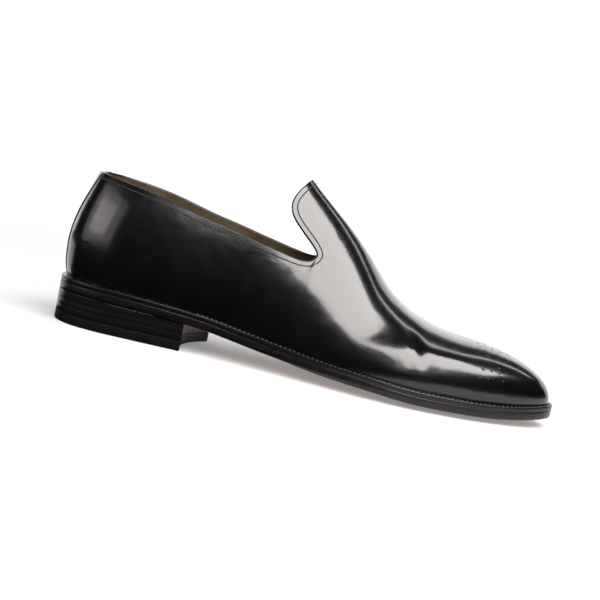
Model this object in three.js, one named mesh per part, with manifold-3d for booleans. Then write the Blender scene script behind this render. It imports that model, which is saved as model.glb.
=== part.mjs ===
// A right slip-on dress shoe: a whole-cut leather upper with a raised tongue,
// on a welted leather sole with a stacked heel. Millimetres, toe along +X,
// wearer's left (medial) along +Y, floor at Z = 0.
import * as THREE from 'three';
import Module from 'manifold-3d';

const wasm = await Module();
wasm.setup();

// Driving sizes of the sole
const LENGTH = 304;
const BALL_WIDTH = 100;
const HEEL_HEIGHT = 19;
const TOE_SPRING = 6.7;
const CAMBER = 4.4;
const OUTSOLE = 4.8;
const WELT = 3;
const WELT_EDGE = 4.6;
const WELT_INNER = 7;
const HEEL_LENGTH = 83.5;
const HEEL_SKEW = 7;
const HEEL_BREAST_SAG = 6;
const HEEL_TAPER = 1.6;
const TOP_PIECE = 6;
const LIFT = 4;
const WELT_END = 93;
const HEEL_ROUND = 40;
const TOE_ROUND = 50;
const EDGE_ROUND = 0.8;

// Driving sizes of the upper and insole
const WALL = 2;
const INSTEP_HEIGHT = 96;
const BACK_HEIGHT = 64.5;
const TOE_BOX_ROUND = 42;
const HEEL_BLEND = 75;
const INSOLE = 3.2;
const STRIP_WIDTH = 22;
const STRIP_FOOT = 12;
const STRIP_THICK = 0.9;
const GAP = 0.3;

// Mesh fineness
const UPPER = { stations: 50, steps: 24 };
const SOLE = { stations: 36, steps: 8 };
const PLATE = { stations: 30, steps: 4 };
const ROOM = { stations: 26, steps: 12 };
const HEEL_STEPS = 12;

// The sole seen from above and below. Shares: at of LENGTH, lateral and medial
// half widths of BALL_WIDTH before the ends are rounded, edge of WELT_EDGE.
const OUTLINE = [
  { at: 0.0, lateral: 0.335, medial: 0.335, edge: 0.7 },
  { at: 0.08, lateral: 0.335, medial: 0.335, edge: 0.65 },
  { at: 0.16, lateral: 0.338, medial: 0.335, edge: 0.56 },
  { at: 0.26, lateral: 0.333, medial: 0.32, edge: 0.48 },
  { at: 0.33, lateral: 0.333, medial: 0.3, edge: 0.43 },
  { at: 0.4, lateral: 0.351, medial: 0.289, edge: 0.45 },
  { at: 0.47, lateral: 0.389, medial: 0.303, edge: 0.52 },
  { at: 0.53, lateral: 0.431, medial: 0.337, edge: 0.62 },
  { at: 0.6, lateral: 0.477, medial: 0.4, edge: 0.76 },
  { at: 0.66, lateral: 0.502, medial: 0.454, edge: 0.87 },
  { at: 0.71, lateral: 0.506, medial: 0.485, edge: 0.93 },
  { at: 0.76, lateral: 0.489, medial: 0.489, edge: 0.98 },
  { at: 0.82, lateral: 0.444, medial: 0.459, edge: 1.0 },
  { at: 0.87, lateral: 0.389, medial: 0.404, edge: 1.0 },
  { at: 0.92, lateral: 0.336, medial: 0.345, edge: 1.0 },
  { at: 0.96, lateral: 0.3, medial: 0.302, edge: 0.85 },
  { at: 1.0, lateral: 0.275, medial: 0.27, edge: 0.6 },
];

// The sole's underside along its middle. Shares: seat of HEEL_HEIGHT, spring of
// TOE_SPRING, camber (how far the edges rise over the middle) of CAMBER.
const PROFILE = [
  { at: 0.0, seat: 1.0, spring: 0, camber: 0 },
  { at: 0.08, seat: 1.0, spring: 0, camber: 0 },
  { at: 0.16, seat: 0.965, spring: 0, camber: 0 },
  { at: 0.26, seat: 0.872, spring: 0, camber: 0.05 },
  { at: 0.33, seat: 0.735, spring: 0, camber: 0.19 },
  { at: 0.4, seat: 0.54, spring: 0, camber: 0.38 },
  { at: 0.47, seat: 0.365, spring: 0, camber: 0.57 },
  { at: 0.53, seat: 0.222, spring: 0, camber: 0.72 },
  { at: 0.6, seat: 0.1, spring: 0, camber: 0.9 },
  { at: 0.66, seat: 0.026, spring: 0, camber: 0.98 },
  { at: 0.71, seat: -0.03, spring: 0, camber: 0.97 },
  { at: 0.76, seat: -0.028, spring: 0, camber: 0.85 },
  { at: 0.82, seat: 0, spring: 0.07, camber: 0.6 },
  { at: 0.87, seat: 0, spring: 0.23, camber: 0.37 },
  { at: 0.92, seat: 0, spring: 0.48, camber: 0.16 },
  { at: 0.96, seat: 0, spring: 0.73, camber: 0.05 },
  { at: 1.0, seat: 0, spring: 1, camber: 0 },
];

// The last's ribs, one row a section, from the welt up to the ridge and down.
// Shares: ridge height of INSTEP_HEIGHT; side (of the ridge, towards the big
// toe) and swell (of the wall, over the welt) of BALL_WIDTH; rise of the
// ridge height; crown of the half width.
const RIBS = [
  { at: 0.0, ridge: 1.04, side: 0, swellL: 0.07, riseL: 0.33, crownL: 0.6, swellM: 0.07, riseM: 0.33, crownM: 0.6 },
  { at: 0.08, ridge: 1.05, side: 0, swellL: 0.07, riseL: 0.33, crownL: 0.6, swellM: 0.07, riseM: 0.33, crownM: 0.6 },
  { at: 0.16, ridge: 1.07, side: 0, swellL: 0.075, riseL: 0.33, crownL: 0.6, swellM: 0.078, riseM: 0.33, crownM: 0.6 },
  { at: 0.26, ridge: 1.1, side: 0, swellL: 0.07, riseL: 0.32, crownL: 0.6, swellM: 0.09, riseM: 0.32, crownM: 0.6 },
  { at: 0.33, ridge: 1.115, side: 0.003, swellL: 0.06, riseL: 0.31, crownL: 0.58, swellM: 0.105, riseM: 0.32, crownM: 0.6 },
  { at: 0.4, ridge: 1.09, side: 0.006, swellL: 0.05, riseL: 0.31, crownL: 0.56, swellM: 0.11, riseM: 0.33, crownM: 0.58 },
  { at: 0.47, ridge: 0.948, side: 0.01, swellL: 0.035, riseL: 0.33, crownL: 0.53, swellM: 0.095, riseM: 0.35, crownM: 0.56 },
  { at: 0.53, ridge: 0.816, side: 0.02, swellL: 0.024, riseL: 0.37, crownL: 0.5, swellM: 0.07, riseM: 0.39, crownM: 0.55 },
  { at: 0.6, ridge: 0.623, side: 0.04, swellL: 0.02, riseL: 0.43, crownL: 0.485, swellM: 0.045, riseM: 0.44, crownM: 0.56 },
  { at: 0.63, ridge: 0.522, side: 0.054, swellL: 0.024, riseL: 0.5, crownL: 0.5, swellM: 0.037, riseM: 0.46, crownM: 0.57 },
  { at: 0.66, ridge: 0.446, side: 0.069, swellL: 0.03, riseL: 0.59, crownL: 0.53, swellM: 0.03, riseM: 0.48, crownM: 0.58 },
  { at: 0.71, ridge: 0.374, side: 0.091, swellL: 0.035, riseL: 0.69, crownL: 0.62, swellM: 0.025, riseM: 0.52, crownM: 0.6 },
  { at: 0.76, ridge: 0.332, side: 0.105, swellL: 0.035, riseL: 0.74, crownL: 0.69, swellM: 0.022, riseM: 0.55, crownM: 0.6 },
  { at: 0.82, ridge: 0.309, side: 0.104, swellL: 0.034, riseL: 0.75, crownL: 0.7, swellM: 0.022, riseM: 0.57, crownM: 0.59 },
  { at: 0.87, ridge: 0.289, side: 0.084, swellL: 0.027, riseL: 0.75, crownL: 0.7, swellM: 0.022, riseM: 0.57, crownM: 0.57 },
  { at: 0.92, ridge: 0.256, side: 0.054, swellL: 0.02, riseL: 0.75, crownL: 0.69, swellM: 0.02, riseM: 0.56, crownM: 0.56 },
  { at: 0.96, ridge: 0.232, side: 0.026, swellL: 0.015, riseL: 0.74, crownL: 0.67, swellM: 0.018, riseM: 0.55, crownM: 0.55 },
  { at: 1.0, ridge: 0.222, side: 0, swellL: 0.012, riseL: 0.72, crownL: 0.65, swellM: 0.015, riseM: 0.55, crownM: 0.55 },
];

// The heel's back curve, as shares of BACK_HEIGHT: in is how far it leans in.
const BACK_CURVE = [
  { up: 0, in: 0 },
  { up: 0.09, in: -0.03 },
  { up: 0.2, in: -0.044 },
  { up: 0.35, in: -0.049 },
  { up: 0.5, in: -0.033 },
  { up: 0.65, in: 0 },
  { up: 0.8, in: 0.047 },
  { up: 1, in: 0.116 },
  { up: 1.6, in: 0.34 },
];

// The collar's topline from the side. Shares: at of LENGTH, up of BACK_HEIGHT.
const TOPLINE = [
  { at: -0.03, up: 1.01 },
  { at: 0.034, up: 0.995 },
  { at: 0.12, up: 0.946 },
  { at: 0.188, up: 0.89 },
  { at: 0.252, up: 0.816 },
  { at: 0.316, up: 0.756 },
  { at: 0.38, up: 0.694 },
  { at: 0.443, up: 0.638 },
  { at: 0.473, up: 0.623 },
];

// The tongue's edge from the side, from the notch to its peak on the ridge.
// Shares: at of LENGTH, up of the height from the notch to the peak.
const TONGUE_EDGE = [
  { at: 0.49, up: 0.036 },
  { at: 0.4965, up: 0.118 },
  { at: 0.4845, up: 0.223 },
  { at: 0.46, up: 0.365 },
  { at: 0.4385, up: 0.5 },
  { at: 0.4285, up: 0.615 },
  { at: 0.4275, up: 0.725 },
  { at: 0.435, up: 0.85 },
  { at: 0.45, up: 1 },
];

// Natural cubic spline through a column of a table.
function column(table, key, name) {
  const x = table.map((row) => row[key]);
  const y = table.map((row) => row[name]);
  const n = x.length;
  const bend = new Array(n).fill(0);
  const work = new Array(n).fill(0);
  for (let i = 1; i < n - 1; i++) {
    const ratio = (x[i] - x[i - 1]) / (x[i + 1] - x[i - 1]);
    const p = ratio * bend[i - 1] + 2;
    const slopes = (y[i + 1] - y[i]) / (x[i + 1] - x[i]) - (y[i] - y[i - 1]) / (x[i] - x[i - 1]);
    bend[i] = (ratio - 1) / p;
    work[i] = ((6 * slopes) / (x[i + 1] - x[i - 1]) - ratio * work[i - 1]) / p;
  }
  for (let i = n - 2; i >= 0; i--) bend[i] = bend[i] * bend[i + 1] + work[i];
  return (at) => {
    const q = Math.min(Math.max(at, x[0]), x[n - 1]);
    let i = 0;
    while (i < n - 2 && q > x[i + 1]) i++;
    const h = x[i + 1] - x[i];
    const a = (x[i + 1] - q) / h;
    const b = 1 - a;
    return a * y[i] + b * y[i + 1] + (((a ** 3 - a) * bend[i] + (b ** 3 - b) * bend[i + 1]) * h * h) / 6;
  };
}

const outline = {
  lateral: column(OUTLINE, 'at', 'lateral'),
  medial: column(OUTLINE, 'at', 'medial'),
  edge: column(OUTLINE, 'at', 'edge'),
};
const profile = {
  seat: column(PROFILE, 'at', 'seat'),
  spring: column(PROFILE, 'at', 'spring'),
  camber: column(PROFILE, 'at', 'camber'),
};
const rib = {};
for (const name of ['ridge', 'side', 'swellL', 'riseL', 'crownL', 'swellM', 'riseM', 'crownM']) {
  rib[name] = column(RIBS, 'at', name);
}
const backIn = column(BACK_CURVE, 'up', 'in');

const mix = (a, b, t) => a + (b - a) * t;

// 0 at an end of the shoe, 1 once past the rounded stretch.
function rounded(distance, stretch, power) {
  const q = Math.min(Math.max(distance / stretch, 0), 1);
  return Math.sqrt(1 - (1 - q) ** power);
}

const roundEnds = (x, heel, toe) =>
  rounded(x - heel, HEEL_ROUND, 2.5) * rounded(LENGTH - toe - x, TOE_ROUND, 2.4);

// Half width of the sole, drawn in from its edge and from its two ends.
function halfWidth(x, side, inset = 0, heel = 0, toe = 0) {
  const at = x / LENGTH;
  const wide = BALL_WIDTH * (side < 0 ? outline.lateral(at) : outline.medial(at)) - inset;
  return wide * roundEnds(x, heel, toe);
}

const weltEdge = (x) => WELT_EDGE * outline.edge(x / LENGTH);

// Underside of the outsole; v runs from -1 at the lateral edge to 1 at the medial.
function underside(x, v) {
  const at = x / LENGTH;
  const middle = HEEL_HEIGHT * profile.seat(at) + TOE_SPRING * profile.spring(at);
  return Math.max(0, middle + CAMBER * profile.camber(at) * v * v);
}

// Stations lie close together at the two ends, where the outline turns.
function station(i, count, from, to) {
  return mix(from, to, (1 - Math.cos((Math.PI * i) / count)) / 2);
}

// Closed body from rings of points; rings may shrink to a line or a point.
function loft(rings, capped = false) {
  const vertices = [];
  const seen = new Map();
  const index = (p) => {
    const key = p.map((c) => Math.round(c * 1e4)).join(' ');
    if (!seen.has(key)) {
      seen.set(key, vertices.length / 3);
      vertices.push(...p);
    }
    return seen.get(key);
  };
  const ids = rings.map((ring) => ring.map(index));
  const triangles = [];
  const add = (a, b, c) => {
    if (a !== b && b !== c && a !== c) triangles.push(a, b, c);
  };
  for (let i = 0; i + 1 < ids.length; i++) {
    for (let j = 0; j < ids[i].length; j++) {
      const k = (j + 1) % ids[i].length;
      add(ids[i][j], ids[i + 1][j], ids[i + 1][k]);
      add(ids[i][j], ids[i + 1][k], ids[i][k]);
    }
  }
  if (capped) {
    for (const last of [false, true]) {
      const end = last ? ids.length - 1 : 0;
      const flat = rings[end].map((p) => new THREE.Vector2(p[capped.u], p[capped.v]));
      for (const [a, b, c] of THREE.ShapeUtils.triangulateShape(flat, [])) {
        const [p, q, r] = [ids[end][a], ids[end][b], ids[end][c]];
        if (last === THREE.ShapeUtils.isClockWise(flat)) add(p, q, r);
        else add(p, r, q);
      }
    }
  }
  return solid(vertices, triangles);
}

// A manifold solid, turned outwards if its faces point in.
function solid(vertices, triangles) {
  const make = (tris) =>
    new wasm.Manifold(
      new wasm.Mesh({
        numProp: 3,
        vertProperties: new Float32Array(vertices),
        triVerts: new Uint32Array(tris),
      }),
    );
  const body = make(triangles);
  if (body.volume() > 0) return body;
  const flipped = [];
  for (let i = 0; i < triangles.length; i += 3) {
    flipped.push(triangles[i], triangles[i + 2], triangles[i + 1]);
  }
  return make(flipped);
}

function fromGeometry(geometry) {
  const { position } = (geometry.index ? geometry.toNonIndexed() : geometry).attributes;
  const rings = [];
  const seen = new Map();
  const vertices = [];
  for (let i = 0; i < position.count; i++) {
    const p = [position.getX(i), position.getY(i), position.getZ(i)];
    const key = p.map((c) => Math.round(c * 1e4)).join(' ');
    if (!seen.has(key)) {
      seen.set(key, vertices.length / 3);
      vertices.push(...p);
    }
    rings.push(seen.get(key));
  }
  const triangles = [];
  for (let i = 0; i < rings.length; i += 3) {
    const [a, b, c] = [rings[i], rings[i + 1], rings[i + 2]];
    if (a !== b && b !== c && a !== c) triangles.push(a, b, c);
  }
  return solid(vertices, triangles);
}

function box(low, high) {
  const geometry = new THREE.BoxGeometry(high[0] - low[0], high[1] - low[1], high[2] - low[2]);
  geometry.translate((low[0] + high[0]) / 2, (low[1] + high[1]) / 2, (low[2] + high[2]) / 2);
  return fromGeometry(geometry);
}

// A layer of the sole between two heights over the underside, inset from the
// edge by inset(x), with a small round on its outer corners.
function soleLayer(low, high, { inset = () => 0, heel = 0, toe = 0, edgeRound = 0, fine = SOLE }) {
  const rings = [];
  for (let i = 0; i <= fine.stations; i++) {
    const x = station(i, fine.stations, heel, LENGTH - toe);
    const ring = [];
    const across = (height, order, pull) => {
      for (const k of order) {
        const v = (2 * k) / fine.steps - 1;
        const half = halfWidth(x, v, inset(x), heel, toe);
        const whole = halfWidth(x, v);
        const y = v * Math.max(0, half - pull);
        const lean = whole > 0 ? Math.min(1, Math.abs(y) / whole) : 0;
        ring.push([x, y, underside(x, lean) + height]);
      }
    };
    const forward = Array.from({ length: fine.steps + 1 }, (_, k) => k);
    const backward = [...forward].reverse();
    const ends = rounded(Math.min(x - heel, LENGTH - toe - x), 8, 2);
    across(low, forward, edgeRound * ends);
    if (edgeRound > 0) {
      across(low + edgeRound, [fine.steps], 0);
      across(high - edgeRound / 2, [fine.steps], 0);
    }
    across(high, backward, (edgeRound / 2) * ends);
    if (edgeRound > 0) {
      across(high - edgeRound / 2, [0], 0);
      across(low + edgeRound, [0], 0);
    }
    rings.push(ring);
  }
  return loft(rings);
}

// The last, on which the upper takes its form
const FEATHER_HEEL = WELT_EDGE * OUTLINE[0].edge;
const FEATHER_TOE = WELT_EDGE * OUTLINE[OUTLINE.length - 1].edge;
const SEAT = HEEL_HEIGHT + OUTSOLE + WELT + GAP;

function featherHeight(x, side) {
  const whole = halfWidth(x, side);
  const half = halfWidth(x, side, weltEdge(x), FEATHER_HEEL, FEATHER_TOE);
  const lean = whole > 0 ? Math.min(1, half / whole) : 0;
  return underside(x, lean) + OUTSOLE + WELT + GAP;
}

// Point of the last at station x, t from 0 at the lateral welt through 0.5 on
// the ridge to 1 at the medial welt: a cubic curve on each side.
function lastPoint(x, t) {
  const at = x / LENGTH;
  const side = t < 0.5 ? -1 : 1;
  const s = t < 0.5 ? 2 * t : 2 - 2 * t;
  const [swell, rise, crown] = side < 0
    ? [rib.swellL(at), rib.riseL(at), rib.crownL(at)]
    : [rib.swellM(at), rib.riseM(at), rib.crownM(at)];
  const ends = roundEnds(x, FEATHER_HEEL, FEATHER_TOE);
  const foot = halfWidth(x, side, weltEdge(x), FEATHER_HEEL, FEATHER_TOE);
  const base = featherHeight(x, side);
  const middle = (featherHeight(x, -1) + featherHeight(x, 1)) / 2;
  const tall = INSTEP_HEIGHT * rib.ridge(at) * rounded(LENGTH - FEATHER_TOE - x, TOE_BOX_ROUND, 3);
  const ridge = BALL_WIDTH * rib.side(at) * ends;
  const y = [side * foot, side * (foot + BALL_WIDTH * swell * ends)];
  y.push(ridge + crown * (side * foot - ridge), ridge);
  const z = [base, base + rise * tall, middle + tall, middle + tall];
  const w = [(1 - s) ** 3, 3 * s * (1 - s) ** 2, 3 * s * s * (1 - s), s ** 3];
  const height = w.reduce((sum, weight, k) => sum + weight * z[k], 0);
  const across = w.reduce((sum, weight, k) => sum + weight * y[k], 0);
  const fade = Math.max(0, 1 - (x - FEATHER_HEEL) / HEEL_BLEND);
  const lean = BACK_HEIGHT * backIn((height - SEAT) / BACK_HEIGHT);
  return new THREE.Vector3(x + lean * fade * fade * (3 - 2 * fade), across, height);
}

// Outward normal of the last, flat to the middle plane at the two ends.
function lastNormal(x, t) {
  const tip = LENGTH - FEATHER_TOE;
  const nearEnd = x - FEATHER_HEEL < 1e-6 || tip - x < 1e-6;
  const step = 0.05;
  const inner = Math.min(Math.max(x, FEATHER_HEEL + step), tip - step);
  const u = Math.min(Math.max(t, 1e-3), 1 - 1e-3);
  const along = lastPoint(inner + step / 2, u).sub(lastPoint(inner - step / 2, u));
  const around = lastPoint(inner, u + 1e-3).sub(lastPoint(inner, u - 1e-3));
  const normal = along.cross(around).normalize();
  if (nearEnd) normal.y = 0;
  return normal.normalize();
}

// The last grown outwards by a given amount (inwards if negative), with its
// underside let down by drop.
function lastSolid(grow, drop, { stations, steps } = UPPER) {
  const rings = [];
  const tip = LENGTH - FEATHER_TOE;
  for (let i = 0; i <= stations; i++) {
    const x = station(i, stations, FEATHER_HEEL, tip);
    const ring = [];
    for (let j = 0; j <= steps; j++) {
      const t = i === 0 ? Math.min(j, steps - j) / steps : j / steps;
      const p = lastPoint(x, t);
      if (i === stations) p.x += grow;
      else p.addScaledVector(lastNormal(x, t), grow);
      if (i === 0) p.y = 0;
      ring.push(p.toArray());
    }
    const first = ring[0];
    const final = ring[ring.length - 1];
    if (drop > 0) {
      ring.push([final[0], final[1], final[2] - drop]);
      ring.push([first[0], first[1], first[2] - drop]);
    }
    rings.push(ring);
  }
  return loft(rings);
}

// Points of a smooth curve through the given points.
function curveThrough(points, steps) {
  return new THREE.SplineCurve(points).getPoints(steps);
}

// What the collar and throat take out of the last, drawn from the side.
function openingProfile() {
  const notch = TOPLINE[TOPLINE.length - 1];
  const peak = TONGUE_EDGE[TONGUE_EDGE.length - 1];
  const notchHeight = SEAT + BACK_HEIGHT * notch.up;
  const peakHeight = lastPoint(LENGTH * peak.at, 0.5).z;
  const points = TOPLINE.map((p) => new THREE.Vector2(LENGTH * p.at, SEAT + BACK_HEIGHT * p.up));
  for (const p of TONGUE_EDGE) {
    points.push(new THREE.Vector2(LENGTH * p.at, mix(notchHeight, peakHeight, p.up)));
  }
  return curveThrough(points, 72);
}

function openingCutter() {
  const edge = openingProfile();
  const roof = SEAT + INSTEP_HEIGHT * 1.6;
  const shape = new THREE.Shape([
    ...edge,
    new THREE.Vector2(edge[edge.length - 1].x, roof),
    new THREE.Vector2(edge[0].x, roof),
  ]);
  const geometry = new THREE.ExtrudeGeometry(shape, { depth: 2 * BALL_WIDTH, bevelEnabled: false });
  geometry.rotateX(Math.PI / 2);
  geometry.translate(0, BALL_WIDTH, 0);
  return fromGeometry(geometry);
}

// One hollow wall, open at the collar and throat and underneath.
function upper(cutter) {
  const outside = lastSolid(0, 0);
  const inside = lastSolid(-WALL, OUTSOLE + WELT);
  return outside.subtract(inside).subtract(cutter);
}

// Strip over the back seam, wider at the collar, cut between two grown copies
// of the last.
function backStrip(cutter) {
  const across = (half, z) => [
    [-LENGTH / 10, -half, z],
    [HEEL_ROUND / 2, -half, z],
    [HEEL_ROUND / 2, half, z],
    [-LENGTH / 10, half, z],
  ];
  const foot = across(STRIP_FOOT / 2, SEAT + GAP);
  const head = across(STRIP_WIDTH / 2, SEAT + BACK_HEIGHT);
  const band = loft([foot, head], { u: 0, v: 1 });
  const skin = lastSolid(GAP + STRIP_THICK, 0).subtract(lastSolid(GAP, OUTSOLE));
  return skin.intersect(band).subtract(cutter);
}

function outsole() {
  return soleLayer(0, OUTSOLE, { edgeRound: EDGE_ROUND });
}

// The ring between outsole and upper, cut into the welt and the heel's rand.
function weltRing() {
  const whole = soleLayer(OUTSOLE + GAP, OUTSOLE + WELT, { edgeRound: EDGE_ROUND / 2 });
  const hole = soleLayer(0, OUTSOLE + 2 * WELT, {
    inset: (x) => weltEdge(x) + WELT_INNER,
    heel: FEATHER_HEEL + WELT_INNER,
    toe: FEATHER_TOE + WELT_INNER,
  });
  return whole.subtract(hole);
}

function weltPieces() {
  const ring = weltRing();
  const far = 2 * LENGTH;
  const front = box([WELT_END + GAP / 2, -far, -far], [far, far, far]);
  const back = box([-far, -far, -far], [WELT_END - GAP / 2, far, far]);
  return [ring.intersect(front), ring.intersect(back)];
}

// Insole: a plate inside the upper, with its underside filled to the outsole.
function insole() {
  const top = OUTSOLE + WELT + GAP + INSOLE;
  const plate = soleLayer(OUTSOLE + WELT + GAP, top, {
    inset: weltEdge,
    heel: FEATHER_HEEL,
    toe: FEATHER_TOE,
    fine: PLATE,
  });
  const fill = soleLayer(OUTSOLE + 2 * GAP, top - INSOLE / 2, {
    inset: (x) => weltEdge(x) + WELT_INNER + 2 * GAP,
    heel: FEATHER_HEEL + WELT_INNER + 2 * GAP,
    toe: FEATHER_TOE + WELT_INNER + 2 * GAP,
    fine: PLATE,
  });
  return plate.intersect(lastSolid(-WALL - 2 * GAP, OUTSOLE + WELT, ROOM)).add(fill);
}

// Heel outline at a height, from the breast round the back to the breast.
function heelRing(z, top) {
  const taper = HEEL_TAPER * (1 - z / top);
  const ring = [];
  const edge = (side, i) => {
    const end = side < 0 ? HEEL_LENGTH : HEEL_LENGTH + HEEL_SKEW;
    const x = mix(0, end, 1 - Math.cos((Math.PI / 2) * (i / HEEL_STEPS)));
    const half = halfWidth(x, side);
    return [x, side * Math.max(0, half - taper * Math.min(1, half / HEEL_TAPER / 4)), z];
  };
  for (let i = HEEL_STEPS; i > 0; i--) ring.push(edge(-1, i));
  for (let i = 0; i <= HEEL_STEPS; i++) ring.push(edge(1, i));
  const [from, to] = [ring[ring.length - 1], ring[0]];
  for (let k = 1; k < 8; k++) {
    const s = k / 8;
    const sag = HEEL_BREAST_SAG * 4 * s * (1 - s);
    ring.push([mix(from[0], to[0], s) - sag, mix(from[1], to[1], s), z]);
  }
  return ring;
}

// The heel as a stack: a top piece on the floor, flat lifts, and a wedge
// under the outsole.
function heelStack() {
  const top = HEEL_HEIGHT + OUTSOLE;
  const cuts = [0, TOP_PIECE, TOP_PIECE + LIFT, TOP_PIECE + 2 * LIFT, top];
  const layers = cuts
    .slice(1)
    .map((high, k) => loft([heelRing(cuts[k], top), heelRing(high, top)], { u: 0, v: 1 }));
  const above = soleLayer(-GAP, 3 * OUTSOLE, { inset: () => -LENGTH / 60, heel: -LENGTH / 60 });
  return [...layers.slice(0, 3), layers[3].subtract(above)];
}

const materials = {
  calf: new THREE.MeshStandardMaterial({ color: 0x0c0b0c, roughness: 0.22, metalness: 0 }),
  edge: new THREE.MeshStandardMaterial({ color: 0x141214, roughness: 0.4, metalness: 0 }),
  sole: new THREE.MeshStandardMaterial({ color: 0x17130f, roughness: 0.5, metalness: 0 }),
  rubber: new THREE.MeshStandardMaterial({ color: 0x101010, roughness: 0.7, metalness: 0 }),
  insole: new THREE.MeshStandardMaterial({ color: 0x4a3520, roughness: 0.7, metalness: 0 }),
};

function mesh(name, body, material) {
  const data = body.getMesh();
  const geometry = new THREE.BufferGeometry();
  geometry.setAttribute('position', new THREE.BufferAttribute(new Float32Array(data.vertProperties), 3));
  geometry.setIndex(new THREE.BufferAttribute(new Uint32Array(data.triVerts), 1));
  const piece = new THREE.Mesh(geometry, material);
  piece.name = name;
  return piece;
}

const cutter = openingCutter();
const [welt, rand] = weltPieces();
const [topPiece, lift1, lift2, wedge] = heelStack();

const shoe = new THREE.Group();
shoe.add(
  mesh('outsole', outsole(), materials.sole),
  mesh('welt', welt, materials.edge),
  mesh('heel_rand', rand, materials.edge),
  mesh('heel_top_piece', topPiece, materials.rubber),
  mesh('heel_lift_lower', lift1, materials.edge),
  mesh('heel_lift_upper', lift2, materials.edge),
  mesh('heel_wedge', wedge, materials.edge),
  mesh('insole', insole(), materials.insole),
  mesh('upper', upper(cutter), materials.calf),
  mesh('back_strip', backStrip(cutter), materials.calf),
);

// The origin is on the floor under the middle of the shoe's box.
const bounds = new THREE.Box3().setFromObject(shoe);
const middle = bounds.getCenter(new THREE.Vector3());
shoe.position.set(-middle.x, -middle.y, 0);

export default shoe;
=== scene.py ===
"""Right slip-on dress shoe in polished black calf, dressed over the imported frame."""

import math

import bpy
import numpy as np
from mathutils import Matrix, Vector


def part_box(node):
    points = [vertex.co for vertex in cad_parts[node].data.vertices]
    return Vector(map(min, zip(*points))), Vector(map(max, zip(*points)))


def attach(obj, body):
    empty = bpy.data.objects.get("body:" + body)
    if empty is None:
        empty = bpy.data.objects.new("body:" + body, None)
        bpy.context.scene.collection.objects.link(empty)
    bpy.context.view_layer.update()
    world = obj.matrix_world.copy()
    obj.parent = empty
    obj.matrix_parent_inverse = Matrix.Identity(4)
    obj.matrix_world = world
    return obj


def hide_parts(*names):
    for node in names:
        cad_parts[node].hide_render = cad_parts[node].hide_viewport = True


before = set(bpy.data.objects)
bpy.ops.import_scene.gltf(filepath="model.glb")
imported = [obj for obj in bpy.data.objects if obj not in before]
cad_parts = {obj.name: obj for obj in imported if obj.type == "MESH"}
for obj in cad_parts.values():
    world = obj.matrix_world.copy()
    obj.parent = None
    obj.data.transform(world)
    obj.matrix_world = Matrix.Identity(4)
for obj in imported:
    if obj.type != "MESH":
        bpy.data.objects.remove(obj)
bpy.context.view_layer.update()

# Sizes in mm, as in the part's source: x from the heel's back to the toe, y to
# the medial side, z from the floor
LENGTH, BALL_WIDTH, HEEL_HEIGHT = 304.0, 100.0, 19.0
TOE_SPRING, CAMBER, OUTSOLE, WELT, WELT_EDGE = 6.7, 4.4, 4.8, 3.0, 4.6
HEEL_LENGTH, HEEL_SKEW, HEEL_BREAST_SAG, HEEL_TAPER = 83.5, 7.0, 6.0, 1.6
TOP_PIECE, LIFT = 6.0, 4.0
HEEL_ROUND, TOE_ROUND, TOE_BOX_ROUND, HEEL_BLEND = 40.0, 50.0, 42.0, 75.0
WALL, INSTEP_HEIGHT, BACK_HEIGHT, INSOLE, GAP = 2.0, 96.0, 64.5, 3.2, 0.3
STRIP_WIDTH, STRIP_FOOT, STRIP_THICK = 22.0, 12.0, 0.9
MIDDLE = np.array([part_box("outsole")[0].x * -1000, -0.776, 0.0])

# Shares of the named sizes, along the shoe: "at" is a share of LENGTH
OUTLINE = {
    "at": (
        0, 0.08, 0.16, 0.26, 0.33, 0.4, 0.47, 0.53, 0.6,
        0.66, 0.71, 0.76, 0.82, 0.87, 0.92, 0.96, 1,
    ),
    "lateral": (
        0.335, 0.335, 0.338, 0.333, 0.333, 0.351, 0.389, 0.431, 0.477,
        0.502, 0.506, 0.489, 0.444, 0.389, 0.336, 0.3, 0.275,
    ),
    "medial": (
        0.335, 0.335, 0.335, 0.32, 0.3, 0.289, 0.303, 0.337, 0.4,
        0.454, 0.485, 0.489, 0.459, 0.404, 0.345, 0.302, 0.27,
    ),
    "edge": (
        0.7, 0.65, 0.56, 0.48, 0.43, 0.45, 0.52, 0.62, 0.76,
        0.87, 0.93, 0.98, 1, 1, 1, 0.85, 0.6,
    ),
    "seat": (
        1, 1, 0.965, 0.872, 0.735, 0.54, 0.365, 0.222, 0.1,
        0.026, -0.03, -0.028, 0, 0, 0, 0, 0,
    ),
    "spring": (0, 0, 0, 0, 0, 0, 0, 0, 0, 0, 0, 0, 0.07, 0.23, 0.48, 0.73, 1),
    "camber": (
        0, 0, 0, 0.05, 0.19, 0.38, 0.57, 0.72, 0.9,
        0.98, 0.97, 0.85, 0.6, 0.37, 0.16, 0.05, 0,
    ),
}
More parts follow.
